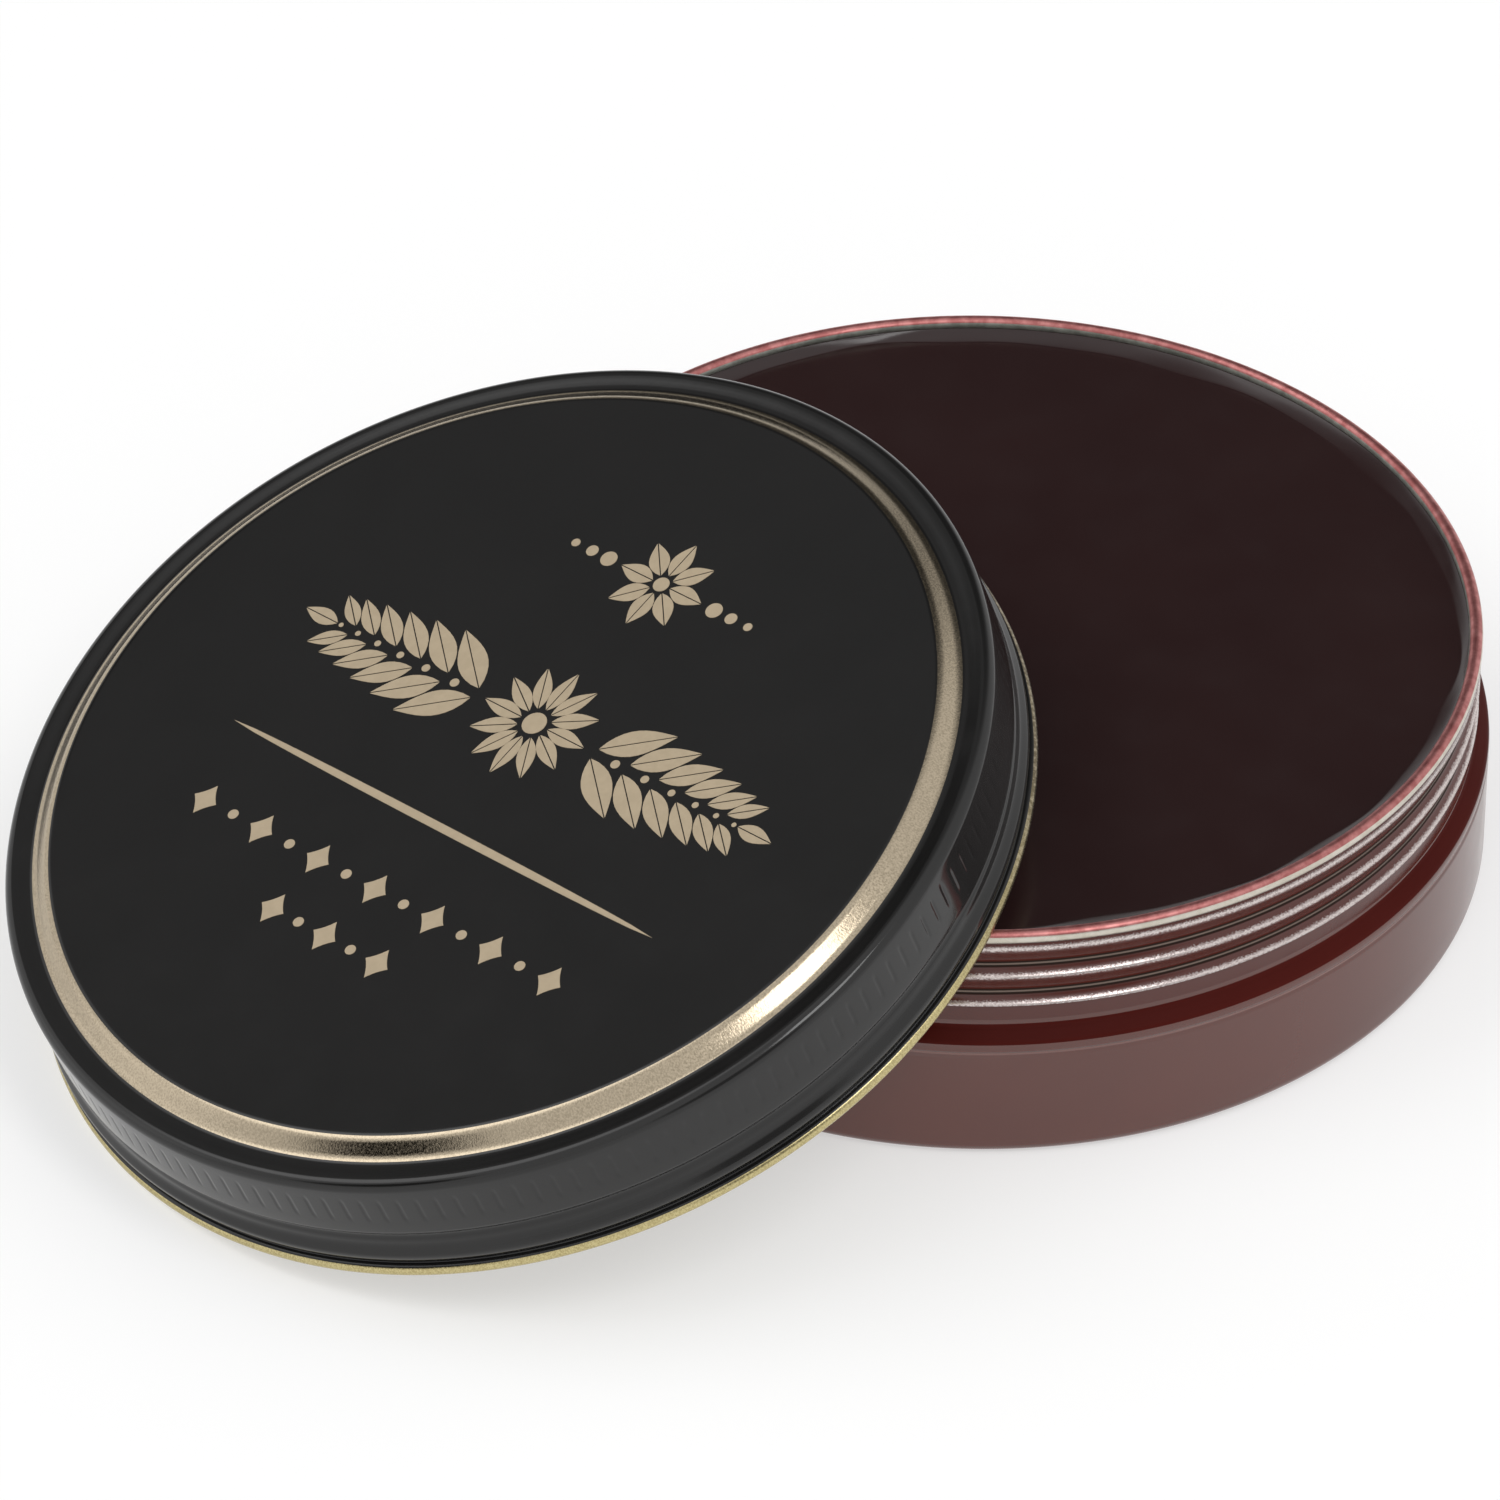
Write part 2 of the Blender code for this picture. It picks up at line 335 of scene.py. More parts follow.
def worn_and_shaded_enamel(name, colour, tin, shade_line_colour, roughness, ior):
    """Enamel of the beaded neck: worn through to tin on the crests, partly wear and partly painted highlight,
    with painted shade in the valleys: a dark brown band and a greyish brown metallic line at each bottom.
    """
    material, tree, shader = new_material(name)
    here = place(tree)
    height = add(tree, "ShaderNodeSeparateXYZ", {0: here}).outputs[2]
    climb_up = maths(tree, "SUBTRACT", height, BEAD_FIRST * MM)
    part = maths(tree, "FRACT", maths(tree, "DIVIDE", climb_up, BEAD_PITCH * MM))
    off_crest = maths(tree, "PINGPONG", maths(tree, "SUBTRACT", part, RUBBED_HIGHLIGHT_ABOVE_CREST), 0.5)
    valley = BEAD_VALLEY + LINE_ABOVE_VALLEY
    off_valley = maths(tree, "ABSOLUTE", maths(tree, "SUBTRACT", part, valley))
    grain = noise(tree, turned_place(tree, 0.8, 1.0, 1.0), 8000.0, 2.0, 0.6)
    ragged = maths(tree, "MULTIPLY", maths(tree, "SUBTRACT", grain, 0.5), RAGGED_EDGE)
    # Worn tin on the crests, partly wear and partly painted highlight
    rubbed_highlight = remap(tree, maths(tree, "ADD", off_crest, ragged), *RUBBED_HIGHLIGHT_FADE, 1.0, 0.0)
    above_first = maths(tree, "GREATER_THAN", climb_up, 0.2 * MM)
    # Painted shade: a dark brown band round each valley's bottom, and a greyish brown line at the bottom
    # itself
    valley_shade = maths(tree, "MULTIPLY", remap(tree, off_valley, *VALLEY_SHADE_FADE, 1.0, 0.0), above_first)
    shaded = maths(tree, "MULTIPLY", remap(tree, off_valley, *SHADE_LINE_FADE, 1.0, 0.0), above_first)
    mixed = blend_colours(tree, valley_shade, (*colour, 1), (*VALLEY_SHADE_BROWN, 1))
    mixed = blend_colours(tree, shaded, mixed, (*shade_line_colour, 1))
    tree.links.new(blend_colours(tree, rubbed_highlight, mixed, (*tin, 1)), shader.inputs["Base Color"])
    shine = maths(tree, "MAXIMUM", rubbed_highlight, shaded)
    tree.links.new(maths(tree, "MULTIPLY", shine, 0.8), shader.inputs["Metallic"])
    smears = noise(tree, here, 400.0, 4.0)
    tree.links.new(remap(tree, smears, 0.3, 0.7, roughness - 0.03, roughness + 0.05),
                   shader.inputs["Roughness"])
    shader.inputs["IOR"].default_value = ior
    peel = bump(tree, noise(tree, here, 1700.0, 2.0), 6e-6)
    tree.links.new(bump(tree, grain, 3e-6, peel), shader.inputs["Normal"])
    return material


def metal(name, colour, tint, roughness, grain, metallic=1.0):
    """Thinly lacquered or bare sheet with a fine grain along the turning direction."""
    material, tree, shader = new_material(name)
    shader.inputs["Metallic"].default_value = metallic
    here = place(tree)
    spots = noise(tree, here, 900.0, 4.0, 0.6)
    varied(tree, remap(tree, spots, 0.40, 0.62, 0.0, 1.0), colour, tint)
    lines = noise(tree, turned_place(tree, 0.25, 1.0, 1.0), 4200.0, 3.0)
    tree.links.new(remap(tree, lines, 0.3, 0.7, roughness - 0.05, roughness + 0.08),
                   shader.inputs["Roughness"])
    tree.links.new(bump(tree, lines, grain), shader.inputs["Normal"])
    return material


# Painted shade: the curl of the lid darkens, with specks, between these places along its own X, in metres, up
# to this much, on its +X side next to the base
SHADE_SPAN = (0.016, 0.034)
SHADE_MOST = 0.9


def painted_shade_side(material, colour, tint):
    """The same metal with painted shade: darkened and speckled towards its +X side."""
    tree = material.node_tree
    shader = tree.nodes["Principled BSDF"]
    here = place(tree)
    side = add(tree, "ShaderNodeSeparateXYZ", {0: here}).outputs[0]
    specks = remap(tree, noise(tree, here, 2600.0, 3.0, 0.6), 0.45, 0.64, 0.0, 1.0)
    # Painted shade: a speckled darker colour, blended in towards the +X side
    shaded = blend_colours(tree, specks, (*colour, 1), (*tint, 1))
    unshaded = shader.inputs["Base Color"].links[0].from_socket
    amount = remap(tree, side, *SHADE_SPAN, 0.0, SHADE_MOST)
    tree.links.new(blend_colours(tree, amount, unshaded, shaded), shader.inputs["Base Color"])
    return material


# Enamels take roughness, orange peel, turning lines and IOR; metals take roughness, grain and how metallic
BLACK = enamel("lid_black_enamel", (0.0086, 0.0083, 0.0081), (0.0098, 0.0094, 0.0092),
               0.12, 2e-6, 8e-7, 1.46)
RING_GOLD = gold("ring_gold_print", (0.345, 0.288, 0.208), (0.47, 0.395, 0.290), 0.16, 9e-6)
# The lid's gold lacquer, with painted shade on its +X side next to the base
LACQUER = painted_shade_side(gold("gold_lacquer", (0.42, 0.350, 0.17), (0.58, 0.50, 0.26), 0.24, 4e-6),
                    (0.115, 0.092, 0.066), (0.34, 0.29, 0.215))
PRINT_GOLD = metal("ornament_gold_print", (0.43, 0.345, 0.232), (0.46, 0.37, 0.25), 0.42, 2e-6, 0.15)
RED = enamel("base_red_enamel", (0.082, 0.0135, 0.0064), (0.090, 0.0155, 0.0076),
             0.15, 2e-6, 1.5e-6, 1.71)
# The neck's enamel colour, the tin on its crests, which is partly wear and partly painted highlight, and the
# colour of the painted shade line in its valleys
NECK_WEAR_AND_SHADE = ((0.078, 0.0130, 0.0076), (0.64, 0.57, 0.55), (0.20, 0.155, 0.13))
NECK_RED = worn_and_shaded_enamel("base_neck_enamel", *NECK_WEAR_AND_SHADE, 0.22, 1.55)
# Painted shade: the valleys take a duller copy of the neck enamel, with less shine
VALLEY_RED = worn_and_shaded_enamel("base_valley_enamel", *NECK_WEAR_AND_SHADE, 0.42, 1.12)
# Painted shade: the ledge takes a darker, duller copy of the red enamel
LEDGE_RED = enamel("base_ledge_enamel", (0.062, 0.0085, 0.0066), (0.068, 0.0098, 0.0076),
                   0.42, 2e-6, 1.5e-6, 1.09)
# Painted highlight: a lighter copy of the red enamel on the middle of the line scored round the body wall
SCORE_HIGHLIGHT_RED = enamel("base_score_highlight_enamel", (0.150, 0.062, 0.052), (0.175, 0.078, 0.066),
                  0.20, 2e-6, 1.5e-6, 1.66)
# The inside of the roll: metal tinted and lightened grey-green as a painted reflection, the sheen band at the
# wax's edge
RIM_INSIDE = metal("base_rim_inside", (0.24, 0.25, 0.22), (0.36, 0.37, 0.33), 0.45, 6e-6, 0.6)
RIM_RED = metal("base_rim_red", (0.36, 0.120, 0.115), (0.52, 0.215, 0.205), 0.38, 1e-5, 0.85)
RIM_BARE = metal("base_rim_bare", (0.56, 0.52, 0.44), (0.64, 0.60, 0.53), 0.30, 4e-6)
WAX = wax("polish_wax_surface", (0.0220, 0.0098, 0.0098), (0.0245, 0.0112, 0.0110), 0.20)


# ---------------------------------------------------------------- base

BODY_RADIUS = 42.5
BODY_CORNER = 1.2
NECK_RADIUS = 41.2
RIM_CENTRE = (40.95, 21.68)
RIM_ROLL = 0.58

# The ring groove in the floor, and the line scored round the body wall
FOOT_GROOVE_INNER = 35.0
FOOT_GROOVE_WIDTH = 2.4
FOOT_GROOVE_DEPTH = 0.35
SCORE_LOW = 10.2
SCORE_TALL = 0.8
SCORE_DEPTH = 0.10

# Zones of the base, and a material for each in the same order. The valley zone's half height, and the place
# above the lowest crest where it may begin, are parts of the beads' pitch.
WALL_ZONE, NECK_ZONE, RIM_ZONE, BARE_ZONE = 0, 1, 2, 3
LEDGE_ZONE, SCORE_HIGHLIGHT_ZONE, INSIDE_ZONE, VALLEY_ZONE = 4, 5, 6, 7
BASE_MATERIALS = (RED, NECK_RED, RIM_RED, RIM_BARE, LEDGE_RED, SCORE_HIGHLIGHT_RED, RIM_INSIDE, VALLEY_RED)
VALLEY_HALF = 0.14
FIRST_VALLEY = 0.1


def neck_line(samples):
    """Ledge, cove, neck band and the three ring beads, from the body wall up to the last crest."""
    ledge = bend((BODY_RADIUS, 11.25), (BODY_RADIUS, 11.72), (BODY_RADIUS - 0.42, 11.98), samples)
    cove = bend((NECK_RADIUS + 0.42, 12.42), (NECK_RADIUS + 0.02, 12.62), (NECK_RADIUS, 12.95), samples)
    beads = []
    steps = 4 * samples
    for i in range(BEAD_PITCHES * steps + 1):
        turn = i / steps
        beads.append((bead_radius(turn), BEAD_FIRST + BEAD_PITCH * turn))
    under = []
    for i in range(samples):
        turn = -0.5 * (samples - i) / samples
        under.append((max(bead_radius(turn), NECK_RADIUS), BEAD_FIRST + FIRST_PITCH * turn))
    return ledge, cove, [(NECK_RADIUS, 13.2)] + under + beads


def bead_radius(turn):
    """Radius of the beaded neck: a narrow crest at each whole turn, steep above it and easy below it."""
    part = turn - math.floor(turn)
    if part < BEAD_VALLEY:
        away, power = part / BEAD_VALLEY, 2.0
    else:
        away, power = (1 - part) / (1 - BEAD_VALLEY), 1.7
    rounded = (math.hypot(away, BEAD_ROUND) - BEAD_ROUND) / (math.hypot(1, BEAD_ROUND) - BEAD_ROUND)
    return BEAD_CREST - BEAD_SWING * (1 - (1 - rounded) ** power)


def neck_rings(neck):
    """The neck's rings, with the bottoms of its two valleys in a zone of their own."""
    made = []
    for radius, height in neck:
        part = (height - BEAD_FIRST) / BEAD_PITCH
        off_valley = abs(part - math.floor(part) - BEAD_VALLEY - LINE_ABOVE_VALLEY)
        in_valley = part > FIRST_VALLEY and off_valley < VALLEY_HALF
        made.append(Ring(radius, height, VALLEY_ZONE if in_valley else NECK_ZONE, None))
    return made


def foot_groove(steps):
    """The shallow ring groove in the floor, steep at its sides and flat at its top."""
    groove = []
    for i in range(1, steps + 1):
        s = i / steps
        groove.append((FOOT_GROOVE_INNER + FOOT_GROOVE_WIDTH * s,
                       FOOT_GROOVE_DEPTH * math.sin(math.pi * s) ** 0.6))
    return groove


def score(steps):
    """The soft line scored round the top of the body wall."""
    return [(BODY_RADIUS - SCORE_DEPTH / 2 * (1 - math.cos(math.tau * i / steps)),
             SCORE_LOW + SCORE_TALL * i / steps) for i in range(steps + 1)]


def base_profile():
    """The base's rings: its outside from the axis up to the rim, over the roll, and back down inside."""
    floor_line = line((0, 0), (FOOT_GROOVE_INNER - 0.1, 0), 3)
    corner = (BODY_RADIUS - BODY_CORNER, BODY_CORNER)
    outer = floor_line + foot_groove(12) + arc(corner, BODY_CORNER, -90, 0, 10)
    outer += line((BODY_RADIUS, 3.0), (BODY_RADIUS, 10.05), 3)
    shoulder = score(12)
    ledge, cove, neck = neck_line(8)
    bare = arc(RIM_CENTRE, RIM_ROLL, -75, 22, 12)
    roll = arc(RIM_CENTRE, RIM_ROLL, 30, 142, 14)
    inside = arc(RIM_CENTRE, RIM_ROLL, 150, 235, 9)
    plain = floor_line + arc(corner, BODY_CORNER, -90, 0, 6)
    for part in neck_line(4):
        plain += part
    profile = rings(outer + shoulder[:5], WALL_ZONE) + rings(shoulder[5:8], SCORE_HIGHLIGHT_ZONE)
    profile += rings(shoulder[8:] + ledge[:3], WALL_ZONE) + rings(ledge[3:] + cove[:-3], LEDGE_ZONE)
    profile += rings(cove[-3:], WALL_ZONE) + neck_rings(neck) + rings(bare, BARE_ZONE)
    profile += rings(roll, RIM_ZONE) + rings(inside, INSIDE_ZONE)
    return profile + rings(inner_face(plain, SHEET)[::-1], WALL_ZONE)


base = turned("base_shell", base_profile(), BASE_MATERIALS)
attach(base, "base")
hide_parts("base_tin")


# ---------------------------------------------------------------- polish

# The cake of wax: its level top, its edge, how wide and how high its climb at the rim is, and how far from
# the edge the climb's fine rings begin
WAX_TOP = 20.9
WAX_EDGE = 40.44
MENISCUS = 1.35
MENISCUS_RISE = 0.60
MENISCUS_REACH = 1.7 * MENISCUS

# The climb's shape: how softly it starts, and what part of it is the steep lip at the edge. Its width varies
# by up to about half round the tin, in waves of (waves round the tin, share, turn in radians).
CLIMB_START = 0.12
CLIMB_LIP = 0.16
UNEVEN = 0.50
WAX_WAVES = ((3, 0.40, 0.6), (7, 0.30, 2.1), (13, 0.25, 0.4), (23, 0.18, 1.3))


def wax_wobble(angle, ring):
    """Height added to a point of the wax's top, because its climb is wider in some places than in others."""
    if ring.height < WAX_TOP - 0.01:
        return 0.0
    wave = sum(share * math.sin(count * angle + turn) for count, share, turn in WAX_WAVES)
    return climb(ring.radius, MENISCUS * (1 + UNEVEN * wave)) - climb(ring.radius, MENISCUS)


def climb(radius, width):
    """Height of the wax over its level part: a steady slope that steepens at the rim."""
    s = max(0.0, 1 - (WAX_EDGE - radius) / width)
    slope = s * s * (1 + CLIMB_START) / (s + CLIMB_START)
    return MENISCUS_RISE * ((1 - CLIMB_LIP) * slope + CLIMB_LIP * s ** 5)


def polish_profile():
    """The wax's rings: its level top, its climb at the rim, and its sides and floor inside the tin."""
    steps = 28
    top = line((0, WAX_TOP), (WAX_EDGE - MENISCUS_REACH, WAX_TOP), 6)[:-1]
    for i in range(steps + 1):
        radius = WAX_EDGE - MENISCUS_REACH * (1 - i / steps)
        top.append((radius, WAX_TOP + climb(radius, MENISCUS)))
    side = [(40.07, 20.4), (40.07, 12.2), (41.8, 10.6), (41.8, 2.15)]
    side += arc((40.6, 2.15), 1.2, 0, -90, 6)[1:]
    return rings(top + side + line((30, 0.95), (0, 0.95), 2), 0)


polish = turned("polish_surface", polish_profile(), [WAX], wax_wobble)
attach(polish, "base")
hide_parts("polish")


# ---------------------------------------------------------------- lid

# The lid, in its own frame: the origin is the centre of its bottom edge, and the frame leans towards -X
LEAN = math.radians(20.3)
LID_RADIUS = 42.00
PANEL_HEIGHT = 12.25
RING_FOOT_HEIGHT = 11.10
MARGIN_EDGE = (40.9, 11.23)
MARGIN_HEIGHT = 11.25
SHOULDER = 0.85
SHOULDER_CENTRE = (LID_RADIUS - SHOULDER, MARGIN_HEIGHT - SHOULDER)
CURL_CENTRE = (42.07, 0.58)
CURL_ROLL = 0.58

# The knurled band's edges, how far its ticks fade in, its rows, and how far they run past the band's edges
KNURL_LOW, KNURL_HIGH = 6.50, 9.60
KNURL_FADE = 0.7
KNURL_ROWS = 16
KNURL_SPARE = 0.2

ENAMEL_ZONE, RING_ZONE, LACQUER_ZONE = 0, 1, 2


def knurl_rings():
    """The knurled band, from the top down, with ticks that fade in and out at its edges."""
    made = []
    for i in range(KNURL_ROWS + 1):
        height = KNURL_HIGH + KNURL_SPARE - (KNURL_HIGH - KNURL_LOW + 2 * KNURL_SPARE) * i / KNURL_ROWS
        inside = min(KNURL_HIGH - height, height - KNURL_LOW) / KNURL_FADE
        cut = max(0.0, min(1.0, inside))
        made.append(Ring(LID_RADIUS, height, ENAMEL_ZONE, cut * cut * (3 - 2 * cut)))
    return made


def lid_outer():
    """The lid's outside: panel, gold ring slope, margin, shoulder, knurl, retaining groove and flare."""
    panel = line((0, PANEL_HEIGHT), (37.1, PANEL_HEIGHT), 5)
    edge = bend((37.36, PANEL_HEIGHT), (37.86, PANEL_HEIGHT), (38.28, 11.91), 9)
    foot = bend((38.86, 11.45), (39.28, RING_FOOT_HEIGHT), (39.78, RING_FOOT_HEIGHT), 9)
    margin = line((40.1, 11.13), MARGIN_EDGE, 2)
    shoulder = arc(SHOULDER_CENTRE, SHOULDER, 90, 0, 14)
    profile = rings(panel + edge[:3], ENAMEL_ZONE) + rings(edge[3:] + foot[:6], RING_ZONE)
    profile += rings(foot[6:] + margin + shoulder, ENAMEL_ZONE) + knurl_rings()
    lower = bend((LID_RADIUS, 5.3), (LID_RADIUS, 5.0), (41.85, 4.85), 4)
    lower += bend((41.80, 4.78), (41.68, 4.62), (41.68, 4.47), 4)
    lower += bend((41.68, 4.40), (41.70, 4.20), (41.82, 3.95), 4)
    lower += bend((41.84, 3.65), (41.87, 3.30), (42.02, 3.06), 4)
    lower += line((42.07, 2.98), (42.28, 2.66), 2)
    lower += bend((42.34, 2.56), (42.42, 2.25), (42.30, 1.88), 6)
    lower += bend((42.06, 1.50), (42.00, 1.42), (42.00, 1.34), 3)
    return profile + rings(lower, ENAMEL_ZONE)


def lid_profile():
    """The lid's rings: its outside down to the crease, round the bottom curl, and back up inside."""
    crease = arc(CURL_CENTRE, CURL_ROLL, 100, 58, 5)
    roll = arc(CURL_CENTRE, CURL_ROLL, 52, -210, 28)
    corners = [(0, PANEL_HEIGHT), (37.45, PANEL_HEIGHT), (39.40, RING_FOOT_HEIGHT), MARGIN_EDGE]
    corners += arc(SHOULDER_CENTRE, SHOULDER, 80, 0, 6)
    corners += [(42.0, 5.05), (41.70, 4.70), (41.70, 4.25), (41.90, 3.60), (41.97, 2.30), (42.0, 1.35)]
    inner = inner_face(corners, -SHEET)[::-1]
    profile = lid_outer() + rings(crease, ENAMEL_ZONE)
    return profile + rings(roll, LACQUER_ZONE) + rings(inner, LACQUER_ZONE)


def lid_matrix():
    """Where the lid's own frame lies: its CAD node's box meets its shoulder at -X and at the top."""
    low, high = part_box("lid")
    cos, sin = math.cos(LEAN), math.sin(LEAN)
    across, up = SHOULDER_CENTRE[0] * MM, SHOULDER_CENTRE[1] * MM
    x = low.x + across * cos + up * sin + SHOULDER * MM
    z = high.z - across * sin - up * cos - SHOULDER * MM
    return Matrix.Translation((x, 0.0, z)) @ Matrix.Rotation(-LEAN, 4, "Y")


LID_FRAME = lid_matrix()
lid = turned("lid_shell", lid_profile(), [BLACK, RING_GOLD, LACQUER])
lid.matrix_world = LID_FRAME
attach(lid, "lid")
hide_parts("lid")


# ---------------------------------------------------------------- ornament on the lid

# The print's turn on the panel, the heights between which it stands, and half the gap of a leaf's vein
ORNAMENT_TURN = math.radians(-73.8)
PRINT_LOW, PRINT_HIGH = PANEL_HEIGHT - 0.015, PANEL_HEIGHT + 0.035
LEAF_SAMPLES = 10
VEIN = 0.05


def prism(bm, outline):
    """A closed, flat-topped solid over an outline of (across, up) points in mm."""
    cos, sin = math.cos(ORNAMENT_TURN), math.sin(ORNAMENT_TURN)
    flat = [((t * cos - n * sin) * MM, (t * sin + n * cos) * MM) for t, n in outline]
    low = [bm.verts.new((x, y, PRINT_LOW * MM)) for x, y in flat]
    high = [bm.verts.new((x, y, PRINT_HIGH * MM)) for x, y in flat]
    bm.faces.new(high)
    bm.faces.new(low[::-1])
    for i in range(len(flat)):
        j = (i + 1) % len(flat)
        bm.faces.new((low[i], low[j], high[j], high[i]))


def moved(points, at, angle, mirror=1):
    """Outline points turned by an angle in degrees, moved, and mirrored left to right if asked."""
    c, s = math.cos(math.radians(angle)), math.sin(math.radians(angle))
    return [(mirror * (at[0] + x * c - y * s), at[1] + x * s + y * c) for x, y in points]


def half_leaf(length, width, side):
    """One half of a pointed leaf lying along +x, with a thin gap for the vein."""
    curve = []
    for i in range(LEAF_SAMPLES + 1):
        s = i / LEAF_SAMPLES
        curve.append((length * s, side * (VEIN + width / 2 * math.sin(math.pi * s ** 0.85))))
    return curve


def leaf(bm, at, angle, length, width, mirror=1):
    """A pointed leaf in two halves."""
    for side in (1, -1):
        prism(bm, moved(half_leaf(length, width, side), at, angle, mirror))


def disc(bm, at, radius, mirror=1, sides=24):
    """A round dot."""
    prism(bm, [(mirror * (at[0] + radius * math.cos(math.tau * i / sides)),
                at[1] + radius * math.sin(math.tau * i / sides)) for i in range(sides)])


def lozenge(bm, at, wide, high, mirror=1):
    """A lozenge with sides that curve in a little."""
    corners = [(wide, 0.0), (0.0, high), (-wide, 0.0), (0.0, -high)]
    outline = []
    for i in range(4):
        a, b = corners[i], corners[(i + 1) % 4]
        pull = ((a[0] + b[0]) * 0.40, (a[1] + b[1]) * 0.40)
        outline += bend(a, pull, b, 6)[:-1]
    prism(bm, [(mirror * (at[0] + x), at[1] + y) for x, y in outline])


def rule(bm, at, half_length, thickness):
    """A straight rule that tapers to a point at both ends."""
    upper, lower = [], []
    for i in range(21):
        s = -1 + i / 10
        half = thickness / 2 * math.sqrt(max(0.0, 1 - s * s))
        upper.append((at[0] + half_length * s, at[1] + half))
        lower.append((at[0] + half_length * s, at[1] - half))
    prism(bm, lower + upper[-2:0:-1])


def rosette(bm, at, petals, inner, outer, width):
    """Pointed petals round a disc."""
    for i in range(petals):
        angle = 90 + 360 * i / petals
        c, s = math.cos(math.radians(angle)), math.sin(math.radians(angle))
        leaf(bm, (at[0] + inner * c, at[1] + inner * s), angle, outer - inner, width)
    disc(bm, at, inner * 0.72)


def sprig(bm, at, mirror):
    """A level branch of paired leaves that shrink outwards, with a berry at each pair."""
    x = at[0]
    for i in range(6):
        size = 1.0 - 0.095 * i
        for side in (1, -1):
            leaf(bm, (x, at[1] + side * 0.55), side * 38, 6.6 * size, 2.5 * size, mirror)
        disc(bm, (x + 2.3 * size, at[1]), 0.42 * size, mirror, 16)
        x += 3.55 * size
    leaf(bm, (x - 0.2, at[1]), 0, 3.6, 1.5, mirror)


def chain(bm, at, steps, pitch):
    """A row of small lozenges with dots between them."""
    for i in range(-steps, steps + 1):
        here = (at[0] + i * pitch, at[1])
        if i % 2 == 0:
            lozenge(bm, here, 1.25, 1.55)
        else:
            disc(bm, here, 0.48, 1, 16)


def make_ornament():
    """The gold print: a rosette between two sprigs, a small rosette with dots, a rule and two chains."""
    bm = bmesh.new()
    middle = 1.2
    band = (middle, 4.5)
    crown = (middle, 20.6)
    rosette(bm, band, 12, 1.5, 5.6, 1.5)
    for mirror in (1, -1):
        sprig_start = (6.9 + mirror * band[0], band[1])
        sprig(bm, sprig_start, mirror)
    rosette(bm, crown, 8, 1.0, 4.5, 1.7)
    for side in (1, -1):
        for k, size in enumerate((0.75, 0.55, 0.4)):
            disc(bm, (crown[0] + side * (6.0 + 1.9 * k), crown[1]), size, 1, 20)
    rule(bm, (middle, -7.4), 24.0, 0.75)
    chain(bm, (0.6, -14.8), 6, 3.3)
    chain(bm, (0.0, -20.4), 2, 3.0)
    bmesh.ops.recalc_face_normals(bm, faces=bm.faces)
    mesh = bpy.data.meshes.new("lid_ornament")
    bm.to_mesh(mesh)
    bm.free()
    mesh.materials.append(PRINT_GOLD)
    piece = bpy.data.objects.new("lid_ornament", mesh)
    bpy.context.collection.objects.link(piece)
    piece.matrix_world = LID_FRAME
    return piece


ornament = make_ornament()
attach(ornament, "lid")


# ---------------------------------------------------------------- camera, floor and light

FLOOR_HALF = 4.0
FLOOR_DROP = 0.00003
FLOOR_GREY = 0.52
FLOOR_GLOW = 0.50

# The key light: azimuth, elevation, distance, width, height and radiance
KEY = (-90, 58, 0.9, 0.25, 0.31, 5.0)


def direction(azimuth, elevation):
    """A unit vector towards a place in the sky, in degrees."""
    a, e = math.radians(azimuth), math.radians(elevation)
    return Vector((math.cos(a) * math.cos(e), math.sin(a) * math.cos(e), math.sin(e)))


def aim(thing, place_at, target):
    """Stand a camera or a lamp at a place, turned towards a target."""
    thing.location = place_at
    thing.rotation_euler = (target - place_at).to_track_quat("-Z", "Y").to_euler()


def make_camera():
    """The photograph's viewing angle, through a long lens."""
    camera = bpy.data.objects.new("camera", bpy.data.cameras.new("camera"))
    bpy.context.collection.objects.link(camera)
    camera.data.lens = CAMERA_LENS_MM
    camera.data.sensor_width = SENSOR_MM
    camera.data.clip_start = 0.01
    aim(camera, CAMERA_PLACE, CAMERA_AIM)
    bpy.context.scene.camera = camera


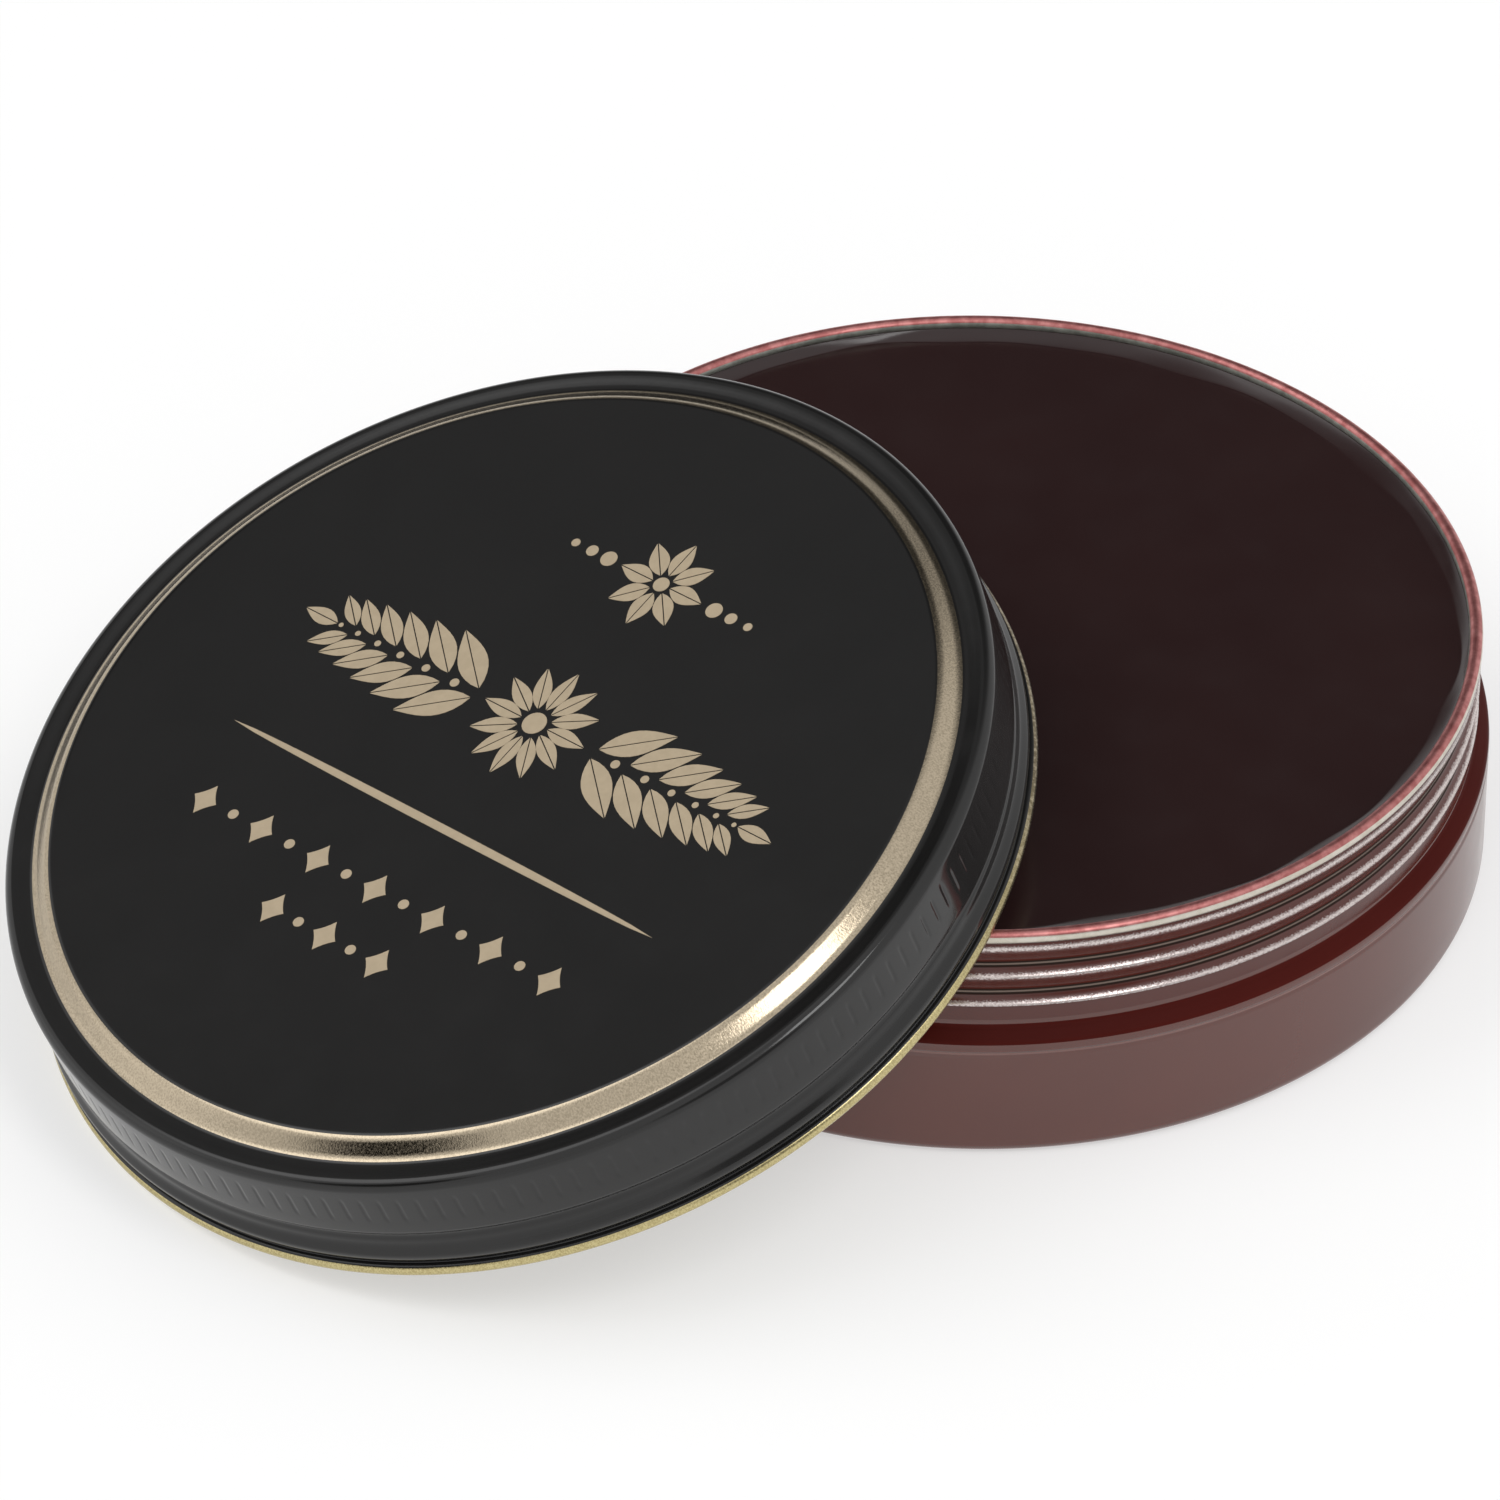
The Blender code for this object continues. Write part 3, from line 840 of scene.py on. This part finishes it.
def make_floor():
    """A pale floor just under the tin, which gives off a little light of its own."""
    mesh = bpy.data.meshes.new("floor")
    signs = ((-1, -1), (1, -1), (1, 1), (-1, 1))
    mesh.from_pydata([(x * FLOOR_HALF, y * FLOOR_HALF, -FLOOR_DROP) for x, y in signs], [], [(0, 1, 2, 3)])
    floor = bpy.data.objects.new("floor", mesh)
    bpy.context.collection.objects.link(floor)
    material, tree, shader = new_material("floor_white")
    shader.inputs["Base Color"].default_value = (FLOOR_GREY, FLOOR_GREY, FLOOR_GREY, 1)
    shader.inputs["Emission Color"].default_value = (1, 1, 1, 1)
    shader.inputs["Emission Strength"].default_value = FLOOR_GLOW
    shader.inputs["Roughness"].default_value = 0.9
    shader.inputs["Specular IOR Level"].default_value = 0.1
    mesh.materials.append(material)


def softbox(name, azimuth, elevation, distance, width, height, radiance):
    """A rectangular area lamp, set by its radiance."""
    data = bpy.data.lights.new(name, "AREA")
    data.shape = "RECTANGLE"
    data.size = width
    data.size_y = height
    data.energy = radiance * math.pi * width * height
    lamp = bpy.data.objects.new(name, data)
    bpy.context.collection.objects.link(lamp)
    aim(lamp, direction(azimuth, elevation) * distance, Vector((0, 0, 0.01)))


# Sky: a level, then soft patches as (azimuth, elevation, radius to full, radius to nothing, level)
SKY_LEVEL = 0.95
PATCHES = (
    (62, 40, 12, 40, 0.05),
    (99, 46, 5, 12, 0.28),
    (99, 36, 3, 8, 0.02),
    (-170, 25, 8, 16, 0.0),
    (146, 54, 11, 22, 2.30),
    (144, 16, 8, 22, 1.25),
    (-95, 24, 9, 21, 0.22),
)


def make_world():
    """A white sky with the patches laid over it in turn."""
    world = bpy.data.worlds.new("studio")
    bpy.context.scene.world = world
    world.use_nodes = True
    tree = world.node_tree
    way = add(tree, "ShaderNodeTexCoord").outputs["Generated"]
    level = SKY_LEVEL
    for azimuth, elevation, full, nothing, value in PATCHES:
        towards = add(tree, "ShaderNodeVectorMath", {0: way, 1: direction(azimuth, elevation)},
                      operation="DOT_PRODUCT").outputs["Value"]
        amount = add(tree, "ShaderNodeMapRange",
                     {0: towards, 1: math.cos(math.radians(nothing)), 2: math.cos(math.radians(full)),
                      3: 0.0, 4: 1.0}, interpolation_type="SMOOTHSTEP").outputs[0]
        level = add(tree, "ShaderNodeMix", {0: amount, 2: level, 3: value}).outputs[0]
    background = tree.nodes["Background"]
    background.inputs["Color"].default_value = (1, 1, 1, 1)
    tree.links.new(level, background.inputs["Strength"])


make_camera()
make_floor()
make_world()
softbox("key", *KEY)
bpy.context.scene.view_settings.view_transform = "Standard"
